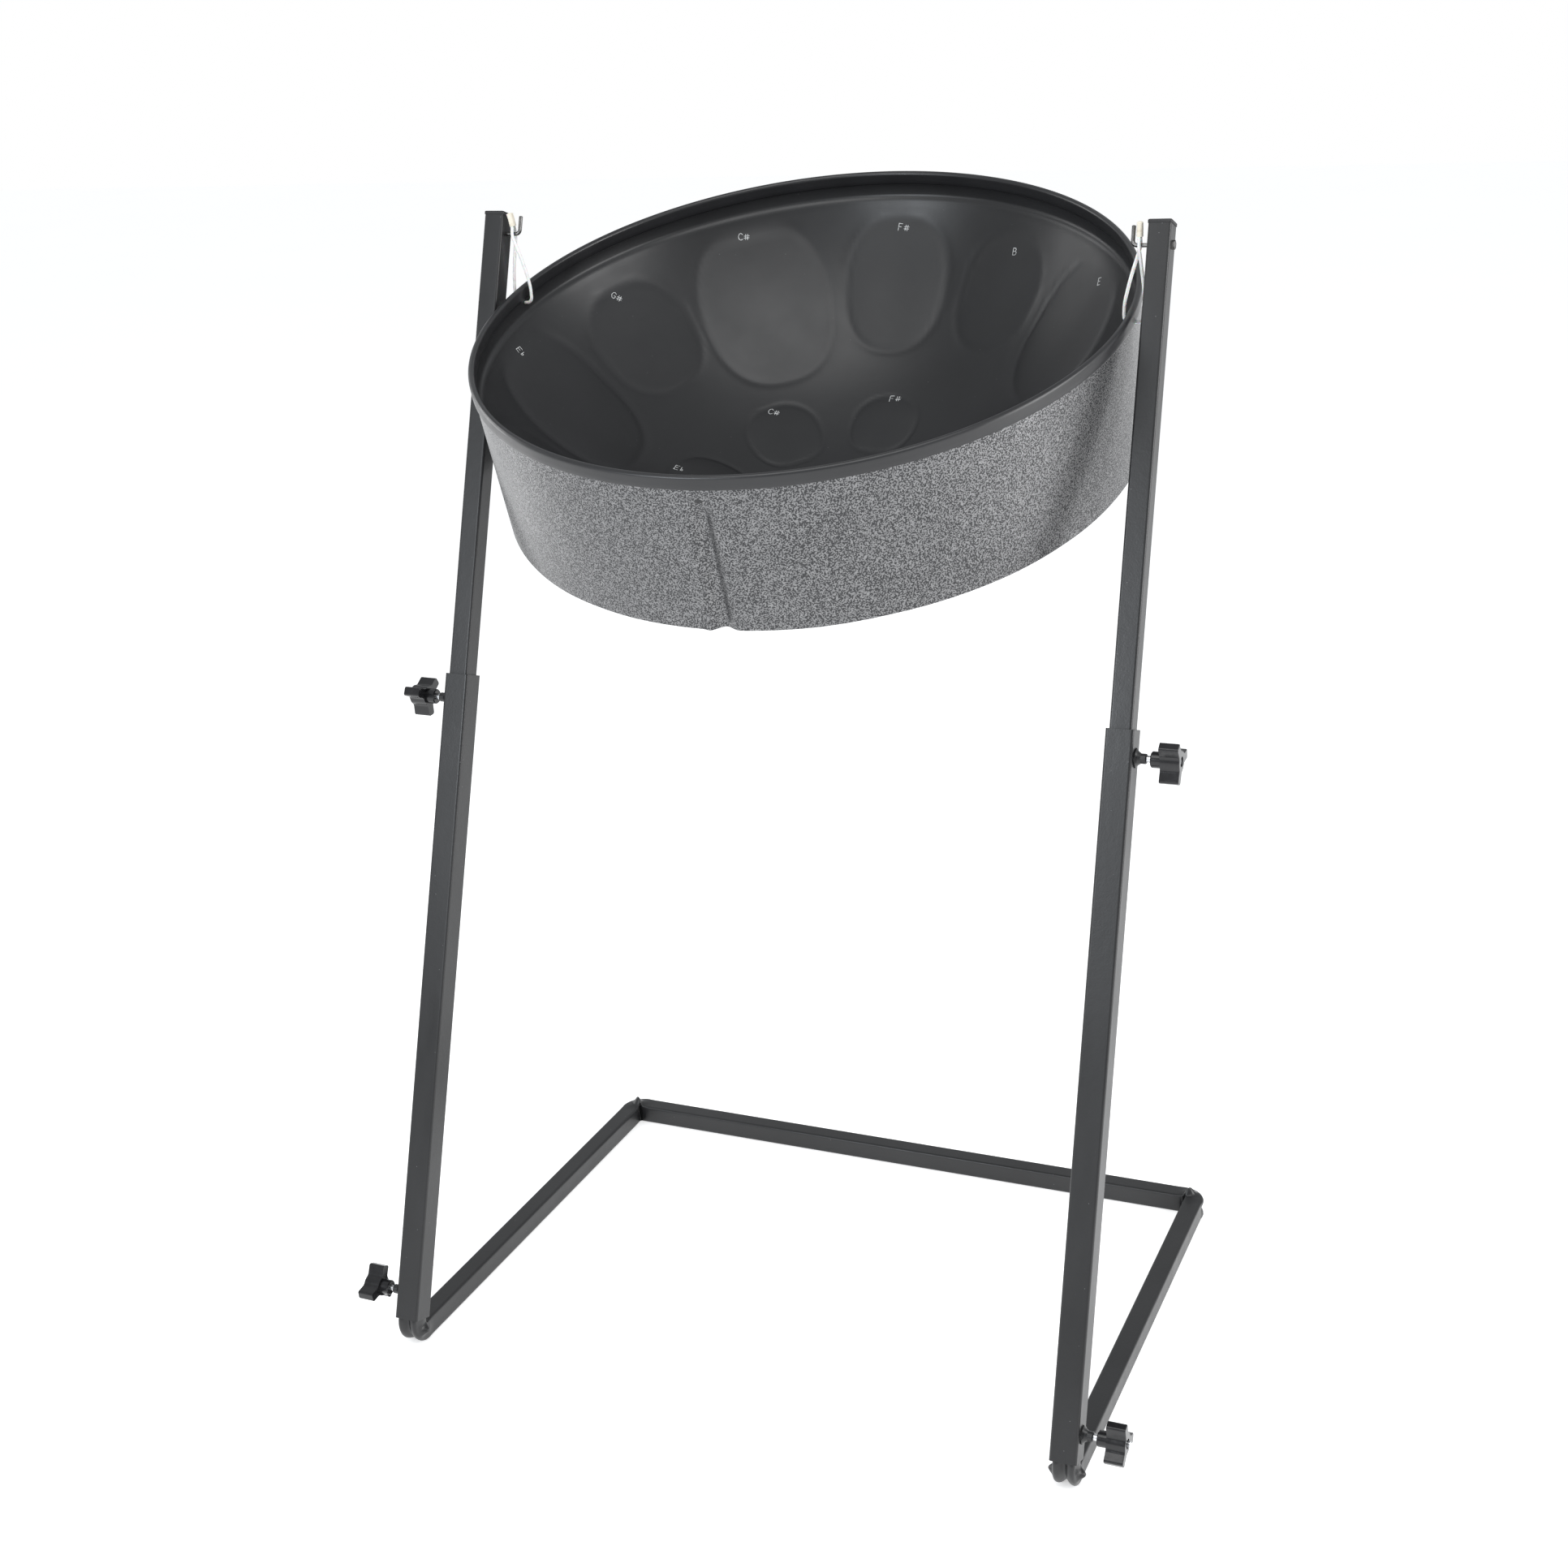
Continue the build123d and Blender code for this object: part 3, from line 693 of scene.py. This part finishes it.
def ring_points(radius, angles, z):
    """Points of a level circle."""
    return np.stack([radius * np.cos(angles), radius * np.sin(angles), np.full(len(angles), z)], -1)


def place_points(points, place):
    """Points in millimetres in a local frame, moved to the row frame in metres."""
    rotation = np.array(place.to_3x3())
    return points @ rotation.T * MM + np.array(place.translation)


def rim(material, place):
    """Rolled rim: a rounded crest over the groove that holds the skirt and the collar."""
    count = 480
    angles = np.linspace(0, 2 * math.pi, count, endpoint=False)
    middle = RIM_RADIUS - CREST
    inner = middle - CREST
    profile = [(RIM_RADIUS, -11.5), (RIM_RADIUS, -8.0), (RIM_RADIUS, -5.0)]
    for i in range(13):
        turn = math.pi * i / 12
        profile.append((middle + CREST * math.cos(turn), -CREST + CREST * math.sin(turn)))
    profile += [(inner, -5.0), (inner, -8.0), (inner, -11.5), (inner + 0.3, -12.4), (inner + 1.2, -12.9)]
    groove_in, groove_out = COLLAR_RADIUS - 0.1, SKIRT_RADIUS + 0.05
    profile += [(groove_in, RIM_BOTTOM), (groove_in, RIM_GROOVE_TOP)]
    profile += [(groove_out, RIM_GROOVE_TOP), (groove_out, RIM_BOTTOM)]
    profile += [(RIM_RADIUS - 1.2, RIM_BOTTOM), (RIM_RADIUS - 0.3, -12.4)]
    points = place_points(np.concatenate([ring_points(r, angles, z) for r, z in profile]), place)
    faces = ring_faces(len(profile), count, closed=True)
    piece = new_piece("rim_rolled", points, faces, "pan", material, angle=50)
    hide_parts("pan_rim")
    return piece


def skirt(material, place):
    """The drum's side: tapered shell with a weld seam and a hand-cut lower edge."""
    count = 960
    rows = 34
    angles = np.linspace(-math.pi, math.pi, count, endpoint=False)
    seam = math.radians(SEAM_ANGLE)
    rng = random.Random(4)
    waves = [(lobes, rng.uniform(-1, 1), rng.uniform(0, 6.28)) for lobes in EDGE_WAVES]
    edge = np.zeros(count)
    for lobes, size, phase in waves:
        edge += size * np.sin(lobes * angles + phase) / math.sqrt(lobes)
    edge = edge * EDGE_WANDER
    sway = np.zeros(count)
    for lobes, size, phase in waves[:4]:
        sway += size * np.sin(lobes * angles + phase * 1.7) / lobes
    turn = (angles - seam) * SKIRT_RADIUS
    outer, inner = [], []
    for row in range(rows + 1):
        share = row / rows
        z = -COLLAR_TOP - share * (SKIRT_LENGTH - COLLAR_TOP + edge)
        taper = SKIRT_TAPER * np.clip((-z - COLLAR_DEPTH) / (SKIRT_LENGTH - COLLAR_DEPTH), 0, None)
        away = smooth_step((-z - 14.0) / 30.0)
        dent = SEAM_RIDGE * bump(turn + 7.0, 4.5) - SEAM_SINK * bump(turn - 6.0, 7.5)
        shape = away * (sway * SIDE_SWAY + dent)
        radius = np.minimum(SKIRT_RADIUS - taper + shape - 0.1, SKIRT_RADIUS + 1.2)
        outer.append(np.stack([radius * np.cos(angles), radius * np.sin(angles), z], -1))
        thin = radius - SKIRT_WALL
        inner.append(np.stack([thin * np.cos(angles), thin * np.sin(angles), z], -1))
    loops = outer + inner[::-1]
    points = place_points(np.concatenate(loops), place)
    faces = ring_faces(len(loops), count, closed=True)
    piece = new_piece("skirt_shell", points, faces, "pan", material, angle=50)
    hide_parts("pan_skirt")
    return piece


# ---------------------------------------------------------------- note names
STROKES = {
    "A": [[(0, 0), (0.35, 1), (0.7, 0)], [(0.14, 0.38), (0.56, 0.38)]],
    "B": [[(0, 0), (0, 1), (0.42, 0.95), (0.5, 0.75), (0.4, 0.55), (0, 0.5)],
          [(0.4, 0.55), (0.58, 0.38), (0.55, 0.12), (0.4, 0.0), (0, 0)]],
    "C": [[(0.62, 0.82), (0.42, 1), (0.16, 0.88), (0.02, 0.5), (0.14, 0.12), (0.4, 0), (0.64, 0.14)]],
    "D": [[(0, 0), (0, 1), (0.36, 0.9), (0.56, 0.5), (0.4, 0.1), (0, 0)]],
    "E": [[(0.55, 1), (0, 1), (0, 0), (0.55, 0)], [(0, 0.52), (0.42, 0.52)]],
    "F": [[(0.55, 1), (0, 1), (0, 0)], [(0, 0.55), (0.42, 0.55)]],
    "G": [[(0.62, 0.84), (0.4, 1), (0.14, 0.86), (0.02, 0.48), (0.16, 0.1), (0.44, 0.02), (0.62, 0.24),
           (0.62, 0.46), (0.38, 0.46)]],
    "#": [[(0.20, 0.06), (0.26, 0.88)], [(0.52, 0.06), (0.58, 0.88)],
          [(0.02, 0.30), (0.76, 0.34)], [(0.04, 0.60), (0.78, 0.64)]],
    "b": [[(0.06, 0.95), (0.06, 0.1), (0.3, 0.18), (0.36, 0.38), (0.24, 0.48), (0.06, 0.4)]],
}
LETTER_HEIGHT = 7.0
LETTER_STEP = 6.0
LETTER_WIDTH = 3.5
LETTER_TWIST = 7            # most that a name is turned by hand, degrees
STROKE_WIDTH = 0.55
# Outer names that sit off their note's middle line: (direction in degrees, radius).
HAND_LETTERED = {
    "Eb": (185, 289), "G#": (155.3, 283), "C#": (124.8, 289.5),
    "F#": (91.6, 285), "B": (64.6, 280), "E": (36.7, 286),
}
OUTER_LABEL_RADIUS = 284.0
INNER_LABEL_RADIUS = 154.0
SPLIT_RADIUS = 200.0        # labels inside this radius are the inner notes'
PAINT_UNDER, PAINT_OVER = 0.05, 0.16


def label_places():
    """Every label as (text, angle, radius in the pan's plane)."""
    places = []
    for name, degrees, *_ in OUTER_NOTES:
        at, radius = HAND_LETTERED.get(name, (degrees, OUTER_LABEL_RADIUS))
        places.append((name, at, radius))
    for name, degrees, *_ in INNER_NOTES:
        places.append((name, degrees, INNER_LABEL_RADIUS))
    return places


def ribbon(points, width):
    """Flat strokes along a polyline in a plane: quads with square ends."""
    quads = []
    for (x0, y0), (x1, y1) in zip(points, points[1:]):
        dx, dy = x1 - x0, y1 - y0
        length = math.hypot(dx, dy)
        ux, uy = dx / length * width / 2, dy / length * width / 2
        quads.append([
            (x0 - ux - uy, y0 - uy + ux), (x0 - ux + uy, y0 - uy - ux),
            (x1 + ux + uy, y1 + uy - ux), (x1 + ux - uy, y1 + uy + ux),
        ])
    return quads


def paint_stroke(corners, points, faces):
    """Adds one quad of paint, with its thickness, to a label's points and faces."""
    base = len(points)
    for lift in (PAINT_UNDER, PAINT_OVER):
        for x, y, _ in corners:
            spot, normal = bowl_point(np.array([math.hypot(x, y)]), np.array([math.atan2(y, x)]))
            points.append((spot + normal * lift)[0])
    faces += [(base + 3, base + 2, base + 1, base), (base + 4, base + 5, base + 6, base + 7)]
    for i in range(4):
        j = (i + 1) % 4
        faces.append((base + i, base + j, base + 4 + j, base + 4 + i))


def labels(material, place):
    """Hand-lettered note names, each a thin layer of paint on the bowl."""
    rng = random.Random(9)
    for text, degrees, radius in label_places():
        angle = math.radians(degrees)
        twist = math.radians(rng.uniform(-LETTER_TWIST, LETTER_TWIST))
        c, s = math.cos(twist), math.sin(twist)
        spot, normal = bowl_point(np.array([float(radius)]), np.array([angle]))
        middle, facing = spot[0], normal[0]
        along = np.array([1.0, 0.0, 0.0]) - facing * facing[0]
        along /= np.linalg.norm(along)
        upward = np.cross(facing, along)
        points, faces = [], []
        total = LETTER_STEP * (len(text) - 1) + LETTER_WIDTH
        for k, letter in enumerate(text):
            size = LETTER_HEIGHT * (1.0 if k == 0 else 0.95)
            for stroke in STROKES[letter]:
                line = [(x * size - total / 2 + k * LETTER_STEP, (y - 0.5) * size) for x, y in stroke]
                for quad in ribbon(line, STROKE_WIDTH):
                    corners = [middle + along * (x * c - y * s) + upward * (x * s + y * c) for x, y in quad]
                    paint_stroke(corners, points, faces)
        name = "label_" + text.replace("#", "_sharp").replace("b", "_flat") + "_" + str(round(degrees) % 360)
        name += "_in" if radius < SPLIT_RADIUS else "_out"
        spots = place_points(np.array(points), place)
        new_piece(name, spots, faces, "pan", material, smooth=False)


# ---------------------------------------------------------------- camera, lights and floor
CAMERA_PLACE = (0.78043, -1.83384, 1.22467)
CAMERA_AZIMUTH = 24.21
CAMERA_DOWN = 19.68
CAMERA_ROLL = -2.95
CAMERA_LENS = 49.89
SENSOR = 36.0
ROOM_LIGHT = 0.55
FLOOR_GLOW = 0.5            # the floor's own light, which lifts it close to white
FLOOR_REACH = 14.0          # half the floor's width, metres
FLOOR_DROP = 0.0002         # keeps the floor just under the feet, metres


def make_camera():
    """Camera at the product's three-quarter view."""
    data = bpy.data.cameras.new("camera")
    data.lens = CAMERA_LENS
    data.sensor_width = SENSOR
    data.clip_start = 0.05
    data.clip_end = 50
    camera = bpy.data.objects.new("camera", data)
    bpy.context.scene.collection.objects.link(camera)
    azimuth = math.radians(CAMERA_AZIMUTH)
    down = math.radians(CAMERA_DOWN)
    ahead = Vector((-math.sin(azimuth) * math.cos(down), math.cos(azimuth) * math.cos(down), -math.sin(down)))
    level = Vector((math.cos(azimuth), math.sin(azimuth), 0))
    upright = level.cross(ahead)
    roll = math.radians(CAMERA_ROLL)
    right = level * math.cos(roll) + upright * math.sin(roll)
    up = right.cross(ahead)
    camera.matrix_world = matrix_of(Vector(CAMERA_PLACE), right, up, -ahead)
    bpy.context.scene.camera = camera


def area_light(name, place, target, size, power, colour=(1, 1, 1)):
    """Rectangular soft light aimed at a point."""
    data = bpy.data.lights.new(name, "AREA")
    data.shape = "RECTANGLE"
    data.size, data.size_y = size
    data.energy = power
    data.color = colour
    light = bpy.data.objects.new(name, data)
    bpy.context.scene.collection.objects.link(light)
    light.location = place
    light.rotation_euler = (Vector(target) - Vector(place)).to_track_quat("-Z", "Y").to_euler()
    return light


def make_world():
    """White room: pure white to the camera, softer as light."""
    world = bpy.data.worlds.new("studio")
    bpy.context.scene.world = world
    world.use_nodes = True
    nodes, links = world.node_tree.nodes, world.node_tree.links
    nodes.clear()
    output = nodes.new("ShaderNodeOutputWorld")
    seen = nodes.new("ShaderNodeBackground")
    seen.inputs["Color"].default_value = (1, 1, 1, 1)
    seen.inputs["Strength"].default_value = 1.0
    lit = nodes.new("ShaderNodeBackground")
    lit.inputs["Strength"].default_value = ROOM_LIGHT
    lit.inputs["Color"].default_value = (0.96, 0.98, 1.0, 1)
    path = nodes.new("ShaderNodeLightPath")
    mix = nodes.new("ShaderNodeMixShader")
    links.new(path.outputs["Is Camera Ray"], mix.inputs[0])
    links.new(lit.outputs[0], mix.inputs[1])
    links.new(seen.outputs[0], mix.inputs[2])
    links.new(mix.outputs[0], output.inputs[0])


def make_floor():
    """Pale floor."""
    mesh = bpy.data.meshes.new("floor")
    corners = [(x * FLOOR_REACH, y * FLOOR_REACH, 0) for x, y in ((-1, -1), (1, -1), (1, 1), (-1, 1))]
    mesh.from_pydata(corners, [], [(0, 1, 2, 3)])
    floor = bpy.data.objects.new("floor", mesh)
    bpy.context.scene.collection.objects.link(floor)
    floor.location.z = -FLOOR_DROP
    s = Shader("floor_white")
    s.set(Roughness=0.75)
    clouds = s.noise(1.2, detail=2.0)
    s.link(s.mix(clouds, (0.90, 0.90, 0.90), (0.93, 0.93, 0.93)), "Base Color")
    s.set(Emission_Strength=FLOOR_GLOW, Emission_Color=(1, 1, 1, 1))
    mesh.materials.append(s.material)


def make_lights():
    """Softboxes: one overhead towards the viewer, one on each side, and a small cool one low
    on the viewer's left that shows in the bowl's far wall."""
    area_light("overhead", (0.3, -1.3, 2.9), (0, 0, 0.4), (2.4, 1.6), 30)
    area_light("right_side", (2.8, 0.2, 1.3), (0, 0, 0.6), (1.3, 2.2), 56)
    area_light("left_side", (-2.6, 0.3, 1.2), (0, 0, 0.6), (0.9, 2.0), 20)
    area_light("front_left", (-1.05, -2.75, 1.5), (0, 0.1, 0.9), (0.8, 0.6), 27, (0.90, 0.95, 1.0))


# ---------------------------------------------------------------- carried-over CAD nodes
def paint(node, material):
    """Puts one material on a CAD node in place of its own."""
    mesh = NODES[node].data
    mesh.materials.clear()
    mesh.materials.append(material)


def paint_nodes(black, cap, knob, zinc, hook, line, sleeve):
    """Materials for every CAD node that stays."""
    for name in SIDES:
        for part in ("_lower_leg_tube", "_upper_leg_tube"):
            paint(name + part, black)
        paint(name + "_top_cap", cap)
        paint(name + "_hook", hook)
        paint(name + "_hook_nut", hook)
        paint(name + "_loop_line", line)
        paint(name + "_loop_sleeve", sleeve)
        for end in ("upper", "lower"):
            paint(name + "_" + end + "_clamp_nut", black)
            paint(name + "_" + end + "_clamp_screw", zinc)
            paint(name + "_" + end + "_clamp_knob", knob)


def main():
    """Builds the whole picture."""
    black = powder_coat()
    cap = moulded_plastic("cap_plastic_black", (0.014, 0.014, 0.015), 0.45, 0.6)
    knob = moulded_plastic("knob_plastic_black", (0.009, 0.009, 0.010), 0.14, 0.24)
    zinc = plated_metal("zinc_plate", (0.50, 0.51, 0.53), (0.78, 0.79, 0.80), 0.2, 0.35)
    hook = plated_metal("dark_nickel", (0.10, 0.10, 0.10), (0.24, 0.235, 0.23), 0.25, 0.42)
    paint_nodes(black, cap, knob, zinc, hook, nylon(), sleeve_plastic())
    place = pan_frame()
    base_tube(black)
    bowl(pan_lacquer(), place)
    rim(rim_lacquer(), place)
    skirt(hammertone(), place)
    labels(label_paint(), place)
    make_floor()
    make_world()
    make_lights()
    make_camera()
    settings = bpy.context.scene.view_settings
    settings.view_transform = "Standard"
    settings.look = "None"


main()
